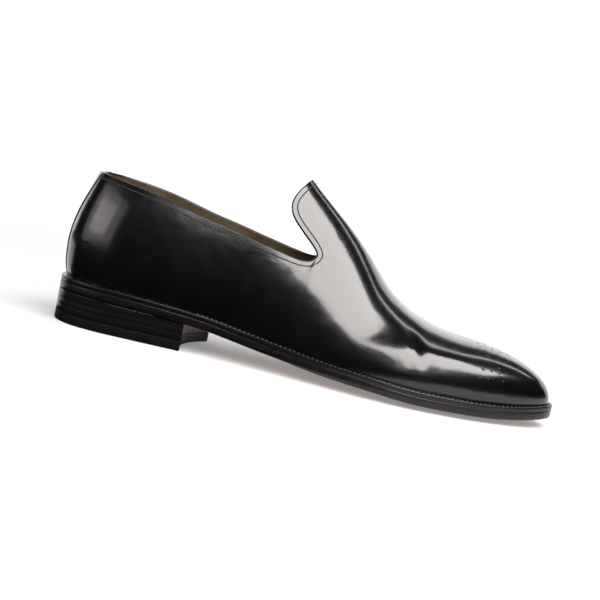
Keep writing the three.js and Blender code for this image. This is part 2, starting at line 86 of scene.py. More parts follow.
RIBS = {
    "at": (
        0, 0.08, 0.16, 0.26, 0.33, 0.4, 0.47, 0.53, 0.6, 0.63,
        0.66, 0.71, 0.76, 0.82, 0.87, 0.92, 0.96, 1,
    ),
    "ridge": (
        1.04, 1.05, 1.07, 1.1, 1.115, 1.09, 0.948, 0.816, 0.623, 0.522,
        0.446, 0.374, 0.332, 0.309, 0.289, 0.256, 0.232, 0.222,
    ),
    "side": (
        0, 0, 0, 0, 0.003, 0.006, 0.01, 0.02, 0.04, 0.054,
        0.069, 0.091, 0.105, 0.104, 0.084, 0.054, 0.026, 0,
    ),
    "swellL": (
        0.07, 0.07, 0.075, 0.07, 0.06, 0.05, 0.035, 0.024, 0.02, 0.024,
        0.03, 0.035, 0.035, 0.034, 0.027, 0.02, 0.015, 0.012,
    ),
    "riseL": (
        0.33, 0.33, 0.33, 0.32, 0.31, 0.31, 0.33, 0.37, 0.43, 0.5,
        0.59, 0.69, 0.74, 0.75, 0.75, 0.75, 0.74, 0.72,
    ),
    "crownL": (
        0.6, 0.6, 0.6, 0.6, 0.58, 0.56, 0.53, 0.5, 0.485, 0.5,
        0.53, 0.62, 0.69, 0.7, 0.7, 0.69, 0.67, 0.65,
    ),
    "swellM": (
        0.07, 0.07, 0.078, 0.09, 0.105, 0.11, 0.095, 0.07, 0.045, 0.037,
        0.03, 0.025, 0.022, 0.022, 0.022, 0.02, 0.018, 0.015,
    ),
    "riseM": (
        0.33, 0.33, 0.33, 0.32, 0.32, 0.33, 0.35, 0.39, 0.44, 0.46,
        0.48, 0.52, 0.55, 0.57, 0.57, 0.56, 0.55, 0.55,
    ),
    "crownM": (
        0.6, 0.6, 0.6, 0.6, 0.6, 0.58, 0.56, 0.55, 0.56, 0.57,
        0.58, 0.6, 0.6, 0.59, 0.57, 0.56, 0.55, 0.55,
    ),
}
BACK_CURVE = {
    "up": (0, 0.09, 0.2, 0.35, 0.5, 0.65, 0.8, 1, 1.6),
    "in": (0, -0.03, -0.044, -0.049, -0.033, 0, 0.047, 0.116, 0.34),
}
TOPLINE = {
    "at": (-0.03, 0.034, 0.12, 0.188, 0.252, 0.316, 0.38, 0.443, 0.473),
    "up": (1.01, 0.995, 0.946, 0.89, 0.816, 0.756, 0.694, 0.638, 0.623),
}
TONGUE_EDGE = {
    "at": (0.49, 0.4965, 0.4845, 0.46, 0.4385, 0.4285, 0.4275, 0.435, 0.45),
    "up": (0.036, 0.118, 0.223, 0.365, 0.5, 0.615, 0.725, 0.85, 1),
}


def column(table, key, name):
    """Natural cubic spline through a column of a table."""
    x, y = np.array(table[key], float), np.array(table[name], float)
    n, h = len(x), np.diff(x)
    a, b = np.eye(n), np.zeros(n)
    for i in range(1, n - 1):
        a[i, i - 1 : i + 2] = h[i - 1], 2 * (h[i - 1] + h[i]), h[i]
        b[i] = 6 * ((y[i + 1] - y[i]) / h[i] - (y[i] - y[i - 1]) / h[i - 1])
    bend = np.linalg.solve(a, b)

    def value(at):
        q = np.clip(np.asarray(at, float), x[0], x[-1])
        i = np.clip(np.searchsorted(x, q, side="right") - 1, 0, n - 2)
        w = (x[i + 1] - q) / h[i]
        v = 1 - w
        bent = (w**3 - w) * bend[i] + (v**3 - v) * bend[i + 1]
        return w * y[i] + v * y[i + 1] + bent * h[i] ** 2 / 6

    return value


outline = {k: column(OUTLINE, "at", k) for k in OUTLINE if k != "at"}
rib = {k: column(RIBS, "at", k) for k in RIBS if k != "at"}
back_in = column(BACK_CURVE, "up", "in")


def rounded(distance, stretch, power):
    """Rise from 0 at an end to 1 at a stretch from it."""
    q = np.clip(distance / stretch, 0, 1)
    return np.sqrt(np.maximum(0, 1 - (1 - q) ** power))


def round_ends(x, heel, toe):
    """Share of the full width that the rounded heel and toe leave."""
    return rounded(x - heel, HEEL_ROUND, 2.5) * rounded(LENGTH - toe - x, TOE_ROUND, 2.4)


def half_width(x, side, inset=0.0, heel=0.0, toe=0.0):
    """Half width of the sole's plan, less an inset; side is below 0 for lateral."""
    at = x / LENGTH
    wide = np.where(side < 0, outline["lateral"](at), outline["medial"](at))
    return (BALL_WIDTH * wide - inset) * round_ends(x, heel, toe)


def underside(x, v):
    """Height of the outsole's underside; v is 0 on the middle line, 1 at the edge."""
    at = x / LENGTH
    middle = HEEL_HEIGHT * outline["seat"](at) + TOE_SPRING * outline["spring"](at)
    return np.maximum(0, middle + CAMBER * outline["camber"](at) * v * v)


def sole_height(x, y):
    """Height of the outsole's underside below a point of the plan."""
    whole = half_width(np.clip(x, 0, LENGTH), y)
    lean = np.clip(np.abs(y) / np.maximum(whole, 1e-6), 0, 1)
    return underside(x, lean)


FEATHER_HEEL = WELT_EDGE * OUTLINE["edge"][0]
FEATHER_TOE = WELT_EDGE * OUTLINE["edge"][-1]
TIP = LENGTH - FEATHER_TOE
SEAT = HEEL_HEIGHT + OUTSOLE + WELT + GAP


def feather_height(x, side):
    """Height at which the upper meets the welt."""
    whole = half_width(x, side)
    half = half_width(x, side, WELT_EDGE * outline["edge"](x / LENGTH), FEATHER_HEEL, FEATHER_TOE)
    lean = np.clip(half / np.maximum(whole, 1e-6), 0, 1)
    return underside(x, lean) + OUTSOLE + WELT + GAP


def last_point(x, t):
    """Point of the last: t from 0 at the lateral welt, 0.5 on the ridge, to 1."""
    x, t = np.broadcast_arrays(np.asarray(x, float), np.asarray(t, float))
    at = x / LENGTH
    side = np.where(t < 0.5, -1.0, 1.0)
    s = np.where(t < 0.5, 2 * t, 2 - 2 * t)
    swell = np.where(side < 0, rib["swellL"](at), rib["swellM"](at))
    rise = np.where(side < 0, rib["riseL"](at), rib["riseM"](at))
    crown = np.where(side < 0, rib["crownL"](at), rib["crownM"](at))
    ends = round_ends(x, FEATHER_HEEL, FEATHER_TOE)
    edge = WELT_EDGE * outline["edge"](at)
    foot = half_width(x, side, edge, FEATHER_HEEL, FEATHER_TOE)
    base = feather_height(x, side)
    one = np.ones_like(x)
    middle = (feather_height(x, -one) + feather_height(x, one)) / 2
    tall = INSTEP_HEIGHT * rib["ridge"](at) * rounded(TIP - x, TOE_BOX_ROUND, 3)
    ridge = BALL_WIDTH * rib["side"](at) * ends
    ys = (side * foot, side * (foot + BALL_WIDTH * swell * ends))
    ys += (ridge + crown * (side * foot - ridge), ridge)
    zs = (base, base + rise * tall, middle + tall, middle + tall)
    ws = ((1 - s) ** 3, 3 * s * (1 - s) ** 2, 3 * s * s * (1 - s), s**3)
    height = sum(w * z for w, z in zip(ws, zs))
    across = sum(w * y for w, y in zip(ws, ys))
    fade = np.maximum(0, 1 - (x - FEATHER_HEEL) / HEEL_BLEND)
    lean = BACK_HEIGHT * back_in((height - SEAT) / BACK_HEIGHT)
    return np.stack([x + lean * fade * fade * (3 - 2 * fade), across, height], -1)


def last_normal(x, t):
    """Outward normal of the last."""
    dx, dt = 0.05, 1e-3
    x = np.clip(x, FEATHER_HEEL + dx, TIP - dx)
    t = np.clip(t, dt, 1 - dt)
    along = last_point(x + dx / 2, t) - last_point(x - dx / 2, t)
    around = last_point(x, t + dt) - last_point(x, t - dt)
    normal = np.cross(along, around)
    return normal / (np.linalg.norm(normal, axis=-1, keepdims=True) + 1e-12)


EDGE_POINTS = 1200
PEAK_FROM = 1000  # points of the edge from here on belong to the tongue's top


def side_edge():
    """The opening's edge from the side: x and z from the heel to the peak."""
    notch = SEAT + BACK_HEIGHT * TOPLINE["up"][-1]
    peak = last_point(LENGTH * TONGUE_EDGE["at"][-1], 0.5)[2]
    pts = [(LENGTH * a, SEAT + BACK_HEIGHT * u) for a, u in zip(TOPLINE["at"], TOPLINE["up"])]
    pts += [
        (LENGTH * a, notch + (peak - notch) * u)
        for a, u in zip(TONGUE_EDGE["at"], TONGUE_EDGE["up"])
    ]
    pts = np.array(pts)
    n, out = len(pts), []
    for k in np.linspace(0, n - 1, EDGE_POINTS):
        i = min(int(k), n - 2)
        w = k - i
        p = [pts[max(i - 1, 0)], pts[i], pts[i + 1], pts[min(i + 2, n - 1)]]
        v0, v1 = (p[2] - p[0]) / 2, (p[3] - p[1]) / 2
        a = 2 * p[1] - 2 * p[2] + v0 + v1
        b = -3 * p[1] + 3 * p[2] - 2 * v0 - v1
        out.append(((a * w + b) * w + v0) * w + p[1])
    return np.array(out)


EDGE = side_edge()
NOTCH = int(np.argmax(np.where(np.arange(EDGE_POINTS) < PEAK_FROM, EDGE[:, 0], 0)))
NOTCH_X, NOTCH_Z = EDGE[NOTCH]


def rib_shares(x, z, side):
    """The t at which the rib of each station x reaches height z."""
    x, z = np.broadcast_arrays(np.asarray(x, float), np.asarray(z, float))
    ts = np.linspace(0, 0.5, 400) if side < 0 else np.linspace(1, 0.5, 400)
    heights = last_point(x.reshape(-1, 1), ts[None])[..., 2]
    found = [np.interp(want, row, ts) for want, row in zip(z.reshape(-1), heights)]
    return np.array(found).reshape(x.shape)


def collar_shares(x, side):
    """The t at which the rib of each station x reaches the topline."""
    ts = np.linspace(0, 0.5, 600) if side < 0 else np.linspace(1, 0.5, 600)
    p = last_point(np.asarray(x, float)[:, None], ts[None])
    over = p[..., 2] - np.interp(p[..., 0], EDGE[: NOTCH + 1, 0], EDGE[: NOTCH + 1, 1])
    i = np.argmax(over > 0, axis=1)
    k = np.arange(len(i))
    w = over[k, i - 1] / (over[k, i - 1] - over[k, i])
    return ts[i - 1] + w * (ts[i] - ts[i - 1])


# Mesh helpers
def to_row(p):
    """From mm in the part's source to metres in the shared frame."""
    return (np.asarray(p, float) - MIDDLE) / 1000


def make(name, points, faces, material, second=None, split=None):
    """One mesh piece from points in mm; coincident points are welded."""
    keys = np.round(np.asarray(points, float), 4)
    unique, back = np.unique(keys, axis=0, return_inverse=True)
    back = back.reshape(-1)
    clean, kind = [], []
    for n, face in enumerate(faces):
        ids = []
        for i in face:
            k = int(back[i])
            if not ids or (k != ids[-1] and k != ids[0]):
                ids.append(k)
        if len(ids) > 2:
            clean.append(ids)
            kind.append(1 if split is not None and split[n] else 0)
    mesh = bpy.data.meshes.new(name)
    mesh.from_pydata([tuple(v) for v in to_row(unique)], [], clean)
    mesh.materials.append(material)
    if second is not None:
        mesh.materials.append(second)
        mesh.polygons.foreach_set("material_index", kind)
    mesh.polygons.foreach_set("use_smooth", [True] * len(mesh.polygons))
    mesh.update()
    piece = bpy.data.objects.new(name, mesh)
    bpy.context.scene.collection.objects.link(piece)
    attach(piece, "root")
    return piece


def grid_faces(rows, cols, offset=0, close=False, flip=False):
    """Quads of a grid of points; close joins the last column to the first."""
    faces = []
    for i in range(rows - 1):
        for j in range(cols if close else cols - 1):
            k = (j + 1) % cols
            f = [offset + i * cols + j, offset + (i + 1) * cols + j]
            f += [offset + (i + 1) * cols + k, offset + i * cols + k]
            faces.append(f[::-1] if flip else f)
    return faces


def band_faces(count, wide):
    """Quads of a closed band with a number of points across."""
    faces = []
    for i in range(count):
        k = (i + 1) % count
        for j in range(wide - 1):
            a, b = i * wide + j, k * wide + j
            faces.append([a, b, b + 1, a + 1])
    return faces


def distance_along(path):
    """Distance of each point of a path from its start."""
    steps = np.linalg.norm(np.diff(path, axis=0), axis=1)
    return np.concatenate([[0], np.cumsum(steps)])


def bump_at(d, width):
    """Smooth bump of height 1 at d = 0."""
    return np.exp(-((d / width) ** 2))


# Creases and dents of the upper, in mm
CREASE_X, CREASE_Z, CREASE_LEAN = 219, 30, 0.55
CREASE_DEPTH, CREASE_WIDTH = 0.75, 3.4
CREASE_MIDDLE_Z, CREASE_REACH = 33, 8
SHOULDER_X, SHOULDER_Z, SHOULDER_LIFT = 222, 31.5, 0.9
SHOULDER_LENGTH, SHOULDER_HEIGHT = 30, 5
PUCKER_COUNT, PUCKER_LIFT, PUCKER_REACH = 7, 0.34, 8


def relief(p):
    """Height of the creases along the normal."""
    x, y, z = p[..., 0], p[..., 1], p[..., 2]
    out = np.zeros_like(x)
    lateral = np.clip(-y / 12 + 0.2, 0, 1)
    # crease where the shoe bends: a soft trough that dips from the ridge's flank
    # to the lateral shoulder, with a fold on each side
    bend = (x - CREASE_X) + CREASE_LEAN * (z - CREASE_Z)
    reach = bump_at(z - CREASE_MIDDLE_Z, CREASE_REACH) * lateral
    out -= CREASE_DEPTH * bump_at(bend, CREASE_WIDTH) * reach
    out += 0.3 * bump_at(bend - 6.5, 4.0) * reach + 0.2 * bump_at(bend + 7, 4.5) * reach
    # roll of the lateral shoulder over the ball
    roll = np.exp(-(((x - SHOULDER_X) / SHOULDER_LENGTH) ** 4))
    out += SHOULDER_LIFT * bump_at(z - SHOULDER_Z, SHOULDER_HEIGHT) * roll * lateral
    # puckers that fan out from the throat's corners
    dx, dz = x - NOTCH_X, z - NOTCH_Z
    far = np.hypot(dx, dz)
    turn = np.arctan2(dz, dx)
    fan = np.sin(turn * PUCKER_COUNT + 0.6) * np.exp(-far / PUCKER_REACH)
    out += PUCKER_LIFT * fan * np.clip(far / 6, 0, 1) ** 2
    # slow unevenness of hand-lasted leather
    out += 0.07 * np.sin(x / 11 + z / 9) * np.sin(z / 13 - x / 29 + y / 15)
    out += 0.05 * np.sin(x / 6.1 - z / 7.7 + 1.3) * np.sin(y / 9 + x / 17)
    return out


def skin(x, t):
    """Point of the upper's outside with its relief, and the last's normal there."""
    p, n = last_point(x, t), last_normal(x, t)
    return p + n * relief(p)[..., None], n


# Points of the skin's grid: up each side, along the rear, tongue and front
UP_SIDE, ALONG_REAR, TONGUE_GRID, ALONG_FRONT = 41, 131, 46, 170
AT_NOTCH = 12  # rows packed closely at the notch


def shares():
    """Grids of (x, t) for the skin: each rear side, the tongue and the front."""
    t_lat = float(rib_shares(NOTCH_X, NOTCH_Z, -1))
    t_med = float(rib_shares(NOTCH_X, NOTCH_Z, 1))
    low = 1 - (1 - np.linspace(0, 1, UP_SIDE)) ** 1.35
    q = np.linspace(0, 1, ALONG_REAR)
    u = 1 - (1 - q) ** 2.0
    xs = FEATHER_HEEL + (NOTCH_X - FEATHER_HEEL) * (u * 0.5 + 0.5 * q**1.5)
    packed = np.linspace(1, 0, AT_NOTCH) ** 2
    xs[-AT_NOTCH:] = NOTCH_X - (NOTCH_X - xs[-AT_NOTCH]) * packed
    rear = {}
    for side in (-1, 1):
        end = np.append(collar_shares(xs[:-1], side), t_lat if side < 0 else t_med)
        start = 0.0 if side < 0 else 1.0
        rise = start + (end[:, None] - start) * low[None]
        rear[side] = np.stack([np.repeat(xs[:, None], UP_SIDE, 1), rise], -1)
    edge = EDGE[NOTCH:]
    w = np.linspace(0, 1, TONGUE_GRID) ** 1.4
    ts, ex = {}, {}
    for side, t0 in ((-1, t_lat), (1, t_med)):
        known = np.append(rib_shares(edge[::6, 0], edge[::6, 1], side), 0.5)
        known[0] = t0
        xs_e = np.append(edge[::6, 0], edge[-1, 0])
        ts[side] = t0 + (0.5 - t0) * w
        order = np.argsort(known)
        ex[side] = np.interp(ts[side], known[order], xs_e[order])
        ex[side][0] = NOTCH_X
    t_row = np.concatenate([ts[-1], ts[1][::-1][1:]])
    x_row = np.concatenate([ex[-1], ex[1][::-1][1:]])
    k = np.linspace(0, 1, TONGUE_GRID)[:, None]
    back_to_notch = x_row[None] + (NOTCH_X - x_row[None]) * k
    tongue = np.stack([back_to_notch, np.repeat(t_row[None], TONGUE_GRID, 0)], -1)
    full = np.concatenate([t_lat * low[:-1], t_row, (1 + (t_med - 1) * low)[::-1][1:]])
    f = np.linspace(0, 1, ALONG_FRONT)
    fx = NOTCH_X + (TIP - NOTCH_X) * (1 - (1 - f) ** 1.45)
    front = np.stack(np.broadcast_arrays(fx[:, None], full[None]), -1)
    return rear, tongue, front


def upper_pieces(calf, lining):
    """The skin, its lining and its rolled edge; gives the edge back for the seam."""
    rear, tongue, front = shares()
    points, faces, inner, inner_faces = [], [], [], []

    def add(block, flip=False, rear_side=False):
        x, t = block[..., 0], block[..., 1]
        p, n = skin(x, t)
        rows, cols = x.shape
        if rear_side:
            n[0, :, 1] = 0
            p[0, :, 1] = 0
        offset = sum(len(q) for q in points)
        faces.extend(grid_faces(rows, cols, offset, flip=flip))
        inner_faces.extend(grid_faces(rows, cols, offset, flip=not flip))
        points.append(p.reshape(-1, 3))
        deep = p - n * WALL
        inner.append(deep.reshape(-1, 3))
        return p, n

    lat_p, lat_n = add(rear[-1], rear_side=True)
    med_p, med_n = add(rear[1], flip=True, rear_side=True)
    tongue_p, tongue_n = add(tongue)
    add(front)
    outer = make("upper_skin", np.concatenate(points), faces, calf)
    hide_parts("upper")

    # Rolled edge round the collar, the notches and the tongue
    loop_p = np.concatenate([lat_p[:, -1], tongue_p[0, 1:-1], med_p[::-1, -1]])[:-1]
    loop_n = np.concatenate([lat_n[:, -1], tongue_n[0, 1:-1], med_n[::-1, -1]])[:-1]
    along = np.roll(loop_p, -1, 0) - np.roll(loop_p, 1, 0)
    along /= np.linalg.norm(along, axis=1, keepdims=True)
    out = np.cross(loop_n, along)
    out /= np.linalg.norm(out, axis=1, keepdims=True)
    turns = 11
    ring = []
    for a in np.linspace(0, math.pi, turns):
        roll = (loop_n * math.cos(a) + out * 0.8 * math.sin(a)) * WALL / 2
        ring.append(loop_p - loop_n * WALL / 2 + roll)
    rim_faces = band_faces(len(loop_p), turns)
    make("collar_edge", np.stack(ring, 1).reshape(-1, 3), rim_faces, calf)
    make("upper_lining", np.concatenate(inner), inner_faces, lining)
    return loop_p, loop_n, out


# One stitch: share of its length and share of its radius
STITCH_PROFILE = ((0, 0.15), (0.12, 0.7), (0.35, 1.0), (0.65, 1.0), (0.88, 0.7), (1, 0.15))
STITCH_SIDES = 6


def stitches(name, path, normals, pitch, length, radius, material, sink):
    """Row of short rounded stitches along a path."""
    run = distance_along(path)
    count = int(run[-1] // pitch)
    points, faces = [], []
    for c in range(count):
        middle = (c + 0.5) * run[-1] / count
        first, last = [
            np.array([np.interp(middle + d, run, path[:, k]) for k in range(3)])
            for d in (-length / 2, length / 2)
        ]
        n = np.array([np.interp(middle, run, normals[:, k]) for k in range(3)])
        n /= np.linalg.norm(n)
        axis = last - first
        axis /= np.linalg.norm(axis)
        across = np.cross(axis, n)
        base = len(points)
        for w, wide in STITCH_PROFILE:
            rise = 0.55 * math.sin(math.pi * w) - sink
            mid = first + (last - first) * w + n * radius * rise
            for a in range(STITCH_SIDES):
                turn = a * 2 * math.pi / STITCH_SIDES
                offset = across * math.cos(turn) + n * math.sin(turn)
                points.append(mid + offset * radius * wide)
        top = base + STITCH_SIDES * (len(STITCH_PROFILE) - 1)
        for ring in range(base, top, STITCH_SIDES):
            for a in range(STITCH_SIDES):
                b = (a + 1) % STITCH_SIDES
                over = ring + STITCH_SIDES
                faces.append([ring + a, ring + b, over + b, over + a])
        faces.append([base + a for a in range(STITCH_SIDES)][::-1])
        faces.append([top + a for a in range(STITCH_SIDES)])
    make(name, np.array(points), faces, material)


# Sole pieces follow loops round the plan of the sole
def plan_loop(count=520, heel=0.0, toe=0.0, inset=None):
    """Evenly spaced loop round the sole's plan, up the lateral side and back."""
    u = np.linspace(0, math.pi, 1500)
    x = heel + (LENGTH - toe - heel) * (1 - np.cos(u)) / 2
    gap = inset(x) if inset else 0.0
    lat = np.stack([x, -half_width(x, -np.ones_like(x), gap, heel, toe)], 1)
    med = np.stack([x, half_width(x, np.ones_like(x), gap, heel, toe)], 1)[::-1]
    loop = np.concatenate([lat, med[1:]])
    run = distance_along(loop)
    s = np.linspace(0, run[-1], count + 1)[:-1]
    return np.stack([np.interp(s, run, loop[:, 0]), np.interp(s, run, loop[:, 1])], 1)


def inward(loop):
    """Unit direction into the plan at each point of a loop."""
    d = np.roll(loop, -1, 0) - np.roll(loop, 1, 0)
    d /= np.linalg.norm(d, axis=1, keepdims=True)
    return np.stack([-d[:, 1], d[:, 0]], 1)


def at_height(loop, inset, height):
    """The loop, moved inwards and set at a height over the sole's underside."""
    p = loop + inward(loop) * inset
    z = sole_height(p[:, 0], p[:, 1]) + height
    return np.stack([p[:, 0], p[:, 1], z], 1)


def towards_spine(loop, share, height):
    """The loop, drawn towards the middle line by a share."""
    spine = np.stack([np.clip(loop[:, 0], 26, LENGTH - 30), np.zeros(len(loop))], 1)
    p = loop + (spine - loop) * share
    return np.stack([p[:, 0], p[:, 1], sole_height(p[:, 0], p[:, 1]) + height], 1)


# Rings of the sole's edge from below to the top: inset and height
OUTSOLE_EDGE = (
    (1.3, 0.0), (0.7, 0.12), (0.25, 0.4), (0.0, 0.9), (0.0, 2.4),
    (0.0, 4.4), (0.04, 4.65), (0.25, 4.8), (2.0, 4.8), (9.0, 4.8),
)
# The welt's top has a groove for the stitches
WELT_RINGS = (
    (8.0, 4.9), (0.3, 4.9), (0.08, 5.0), (0.0, 5.2), (0.0, 7.2), (0.08, 7.5), (0.3, 7.72),
    (0.8, 7.8), (1.2, 7.78), (1.5, 7.55), (1.8, 7.55), (2.1, 7.78), (2.6, 7.8), (8.0, 7.8),
)


def outsole_piece(edge, leather):
    """Leather sole with a burnished edge and a natural underside."""
    loop = plan_loop()
    rings = [towards_spine(loop, s, 0) for s in (1, 0.8, 0.6, 0.4, 0.25, 0.12, 0.06)]
    bottom = len(rings)
    rings += [at_height(loop, inset, z) for inset, z in OUTSOLE_EDGE]
    faces = grid_faces(len(rings), len(loop), close=True, flip=True)
    under = [i < bottom * len(loop) for i in range(len(faces))]
    points = np.concatenate(rings)
    piece = make("outsole_leather", points, faces, edge, leather, under)
    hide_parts("outsole")


def welt_piece(edge):
    """Closed strip round the whole sole, standing for the welt and the heel rand."""
    loop = plan_loop()
    rings = [at_height(loop, inset, z) for inset, z in WELT_RINGS]
    faces = grid_faces(len(rings) + 1, len(loop), close=True, flip=True)
    total = len(rings) * len(loop)
    faces = [[i % total for i in f] for f in faces]
    piece = make("welt_strip", np.concatenate(rings), faces, edge)
    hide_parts("welt", "heel_rand")


# Points of the heel's loop, those along the breast, and the middle of its plan
HEEL_POINTS, BREAST = 300, 60
HEEL_MIDDLE = np.array([44.0, 0.0])
HEEL_MIDDLE_INSET = 40  # an inset of this size ends at the middle


def even(path, count):
    """Points spaced evenly along a path."""
    run = distance_along(path)
    k = np.linspace(0, run[-1], count)
    return np.stack([np.interp(k, run, path[:, i]) for i in range(path.shape[1])], 1)


def heel_loop(z):
    """Plan of the heel at a height, its breast sagging between the sides."""
    top = HEEL_HEIGHT + OUTSOLE
    taper = HEEL_TAPER * (1 - z / top)

    def edge(side, end):
        u = np.linspace(0, 1, 200)
        x = end * (1 - np.cos(math.pi / 2 * u))
        half = half_width(x, side * np.ones_like(x))
        y = side * np.maximum(0, half - taper * np.minimum(1, half / HEEL_TAPER / 4))
        return np.stack([x, y], 1)

    lat, med = edge(-1, HEEL_LENGTH), edge(1, HEEL_LENGTH + HEEL_SKEW)
    s = np.linspace(0, 1, BREAST)
    a, b = med[-1], lat[-1]
    breast = a + (b - a) * s[:, None]
    breast[:, 0] -= HEEL_BREAST_SAG * 4 * s * (1 - s)
    outer = np.concatenate([lat[::-1], med[1:]])
    round_part = even(outer, HEEL_POINTS - BREAST + 1)
    return np.concatenate([round_part, even(breast, BREAST + 1)[1:-1]])


def heel_ring(z, inset):
    """Loop of the heel at a height, kept under the outsole."""
    loop = heel_loop(z)
    p = loop - inward(loop) * inset
    if inset > 6:
        p = HEEL_MIDDLE + (loop - HEEL_MIDDLE) * (1 - inset / HEEL_MIDDLE_INSET)
    top = sole_height(p[:, 0], p[:, 1]) - GAP
    return np.stack([p[:, 0], p[:, 1], np.minimum(z, top)], 1)


def heel_pieces(edge, rubber, natural):
    """Top piece and stacked lifts, each from levels of (inset, height)."""
    def body(name, levels, material, second=None):
        rings = [heel_ring(z, inset) for inset, z in levels]
        faces = grid_faces(len(rings), HEEL_POINTS, close=True)
        at_breast = [i % HEEL_POINTS > HEEL_POINTS - BREAST for i in range(len(faces))]
        return make(name, np.concatenate(rings), faces, material, second, at_breast)

    tip = [(40, 0), (26, 0), (12, 0), (2, 0), (0.6, 0.0), (0.15, 0.2), (0, 0.6)]
    tip += [(0, 2.8), (0, 5.4), (0.05, 5.7), (0.22, 5.85), (2.5, 5.9), (12, 5.9), (40, 5.9)]
    top_piece = body("heel_rubber", tip, rubber)
    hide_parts("heel_top_piece")
    stack = [(40, 6.02), (12, 6.02), (2.5, 6.02), (0.22, 6.08), (0.03, 6.3)]
    for z in (TOP_PIECE + LIFT, TOP_PIECE + 2 * LIFT):
        stack += [(0, z - 2), (0, z - 0.15), (0.02, z - 0.05)]
        stack += [(0.02, z + 0.05), (0, z + 0.15)]
    stack += [(0, 16.0), (0, 17.2), (0, 18.4), (0.06, 18.85), (0.3, 19), (12, 19), (40, 19)]
    lifts = body("heel_lifts", stack, edge, natural)
    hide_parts("heel_lift_lower", "heel_lift_upper", "heel_wedge")


def insole_piece(material):
    """Sock lining on the insole, inside the upper."""
    def inset(x):
        return WELT_EDGE * outline["edge"](x / LENGTH) + WALL + 0.6

    heel, toe = FEATHER_HEEL + WALL + 0.6, FEATHER_TOE + WALL + 5
    loop = plan_loop(360, heel, toe, inset)
    top = OUTSOLE + WELT + GAP + INSOLE
    rings = [at_height(loop, 0.2, top - INSOLE), at_height(loop, 0, top - 0.9)]
    rings += [at_height(loop, 0.1, top - 0.3), at_height(loop, 0.4, top)]
    rings += [towards_spine(loop, s, top) for s in (0.06, 0.15, 0.35, 0.6, 0.8, 1)]
    faces = grid_faces(len(rings), len(loop), close=True, flip=True)
    piece = make("sock_lining", np.concatenate(rings), faces, material)
    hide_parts("insole")


def back_rows(zs):
    """For each height, the upper's half section at the heel's back as x over y."""
    xs = FEATHER_HEEL + np.linspace(0, 1, 60) ** 2 * 16
    grid = np.broadcast_arrays(xs[None], np.asarray(zs)[:, None])
    return last_point(grid[0], rib_shares(grid[0], grid[1], 1))


def strip_piece(material):
    """Narrow strip over the back seam, thinned at its sides and foot."""
    low, high = SEAT + 0.3, SEAT + BACK_HEIGHT * 0.995 + 0.2
    rows, cols = 34, 33
    zs = np.linspace(low, high, rows)
    us = np.linspace(-1, 1, cols)
    us = np.sign(us) * (1 - (1 - np.abs(us)) ** 1.6)
    base, section = np.zeros((rows, cols, 3)), back_rows(zs)
    for i, z in enumerate(zs):
        share = (z - low) / (high - low)
        half = (STRIP_FOOT + (STRIP_WIDTH - STRIP_FOOT) * share) / 2
        wide = np.abs(us) * half
        base[i, :, 0] = np.interp(wide, section[i, :, 1], section[i, :, 0])
        base[i, :, 1] = us * half
        base[i, :, 2] = z
    du = np.gradient(base, axis=0)
    dv = np.gradient(base, axis=1)
    n = np.cross(dv, du)
    n /= np.linalg.norm(n, axis=-1, keepdims=True)
    rim = np.clip((1 - np.abs(us)) * STRIP_WIDTH / 2 / 0.9, 0, 1)
    ends = np.ones(rows)
    ends[0], ends[1] = 0.2, 0.85
    lift = (STRIP_THICK * np.sqrt(rim))[None] * ends[:, None] + 0.05
    p = base + n * lift[..., None]
    back = base - n * 0.5
    points = np.concatenate([p.reshape(-1, 3), back.reshape(-1, 3)])
    faces = grid_faces(rows, cols) + grid_faces(rows, cols, rows * cols, flip=True)
    m = rows * cols
    loop = list(range(cols)) + [i * cols + cols - 1 for i in range(1, rows)]
    loop += [(rows - 1) * cols + j for j in range(cols - 2, -1, -1)]
    loop += [i * cols for i in range(rows - 2, 0, -1)]
    for a, b in zip(loop, loop[1:] + loop[:1]):
        faces.append([a, b, b + m, a + m])
    piece = make("back_seam_strip", points, faces, material)
    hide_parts("back_strip")


# Materials
def node_material(name):
    """New material with its nodes, links, shader and object coordinates."""
    material = bpy.data.materials.new(name)
    material.use_nodes = True
    nodes, links = material.node_tree.nodes, material.node_tree.links
    shader = nodes["Principled BSDF"]
    coords = nodes.new("ShaderNodeTexCoord")
    return material, nodes, links, shader, coords


def noise(nodes, links, coords, scale, detail=4.0, stretch=None, distortion=0.0):
    """Noise texture in object coordinates, stretched where asked."""
    tex = nodes.new("ShaderNodeTexNoise")
    tex.inputs["Scale"].default_value = scale
    tex.inputs["Detail"].default_value = detail
    tex.inputs["Distortion"].default_value = distortion
    source = coords.outputs["Object"]
    if stretch:
        mapping = nodes.new("ShaderNodeMapping")
        mapping.inputs["Scale"].default_value = stretch
        links.new(source, mapping.inputs["Vector"])
        source = mapping.outputs["Vector"]
    links.new(source, tex.inputs["Vector"])
    return tex


def ramp(nodes, links, source, stops):
    """Colour ramp over a value, from (position, colour) stops."""
    node = nodes.new("ShaderNodeValToRGB")
    links.new(source, node.inputs["Fac"])
    node.color_ramp.elements[0].position = stops[0][0]
    node.color_ramp.elements[0].color = (*stops[0][1], 1)
    node.color_ramp.elements[1].position = stops[-1][0]
    node.color_ramp.elements[1].color = (*stops[-1][1], 1)
    for pos, colour in stops[1:-1]:
        e = node.color_ramp.elements.new(pos)
        e.color = (*colour, 1)
    return node


def span(nodes, links, source, low, high):
    """The value 0 to 1 mapped to low to high."""
    node = nodes.new("ShaderNodeMapRange")
    node.inputs["To Min"].default_value = low
    node.inputs["To Max"].default_value = high
    links.new(source, node.inputs["Value"])
    return node.outputs["Result"]


